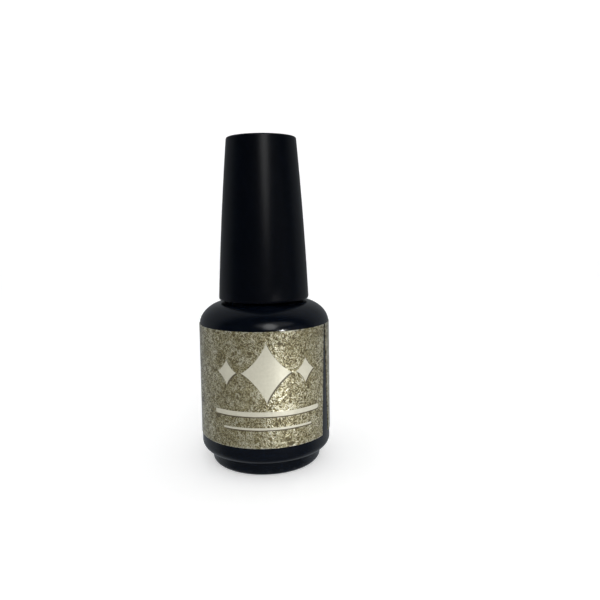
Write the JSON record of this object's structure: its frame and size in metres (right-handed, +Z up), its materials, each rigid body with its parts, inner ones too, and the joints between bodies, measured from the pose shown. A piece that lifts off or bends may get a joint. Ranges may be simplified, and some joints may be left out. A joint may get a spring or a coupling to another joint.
{
  "type": "nail polish bottle",
  "caption": "Round black glass nail polish bottle with a wrap-round glitter label and a tall tapered black screw cap that carries the brush.",
  "frame": {"origin": "on the bottle's axis, level with the underside of its foot, at the bottom centre of the bounding box", "axes": "+Z up along the bottle's axis to the top of the cap, -Y to the front, where the middle of the label is, +X to the right as seen from the front"},
  "size_m": [0.0322, 0.0322, 0.0795],
  "materials": {
    "black_glass": "glass lacquered black, high gloss",
    "label_film": "glossy film printed with fine champagne glitter",
    "label_paper": "plain coated paper",
    "polish": "wet glitter gel",
    "ball_steel": "polished",
    "cap_plastic": "smooth satin black",
    "inner_cap_plastic": "moulded matt black",
    "washer_plastic": "soft white foam",
    "stem_plastic": "smooth moulded black",
    "staple_brass": "stamped strip",
    "bristle_nylon": "fine nylon filaments"
  },
  "bodies": {
    "bottle": {"bottle": "black_glass", "wrap_label": "label_film", "base_label": "label_paper", "polish_fill": "polish"},
    "washer": {"seal_washer": "washer_plastic"},
    "brush": {"brush_stem": "stem_plastic", "bristle_staple": "staple_brass", "bristle_tuft": "bristle_nylon"},
    "cap": {"outer_cap": "cap_plastic", "inner_cap": "inner_cap_plastic"},
    "ball_1": {"mixing_ball_1": "ball_steel"},
    "ball_2": {"mixing_ball_2": "ball_steel"}
  },
  "joints": [
    {"name": "cap_lift", "type": "slide", "parent": "bottle", "child": "washer", "axis": [0, 0, 1], "range_m": [0, 0.055]},
    {"name": "thread_rise", "type": "slide", "parent": "washer", "child": "brush", "axis": [0, 0, 1], "range_m": [0, 0.0037]},
    {"name": "cap_turn", "type": "hinge", "parent": "brush", "child": "cap", "pos_m": [0, 0, 0.048], "axis": [0, 0, 1], "range_deg": [0, 630]},
    {"name": "ball_1_roll", "type": "hinge", "parent": "bottle", "child": "ball_1", "pos_m": [0, 0, 0.0064], "axis": [0, 0, 1], "range_deg": [-70, 70]},
    {"name": "ball_2_roll", "type": "hinge", "parent": "bottle", "child": "ball_2", "pos_m": [0, 0, 0.0064], "axis": [0, 0, 1], "range_deg": [-70, 70]}
  ],
  "couplings": [
    {"joint": "thread_rise", "follows": "cap_turn", "m_per_rad": 0.00033423}
  ]
}
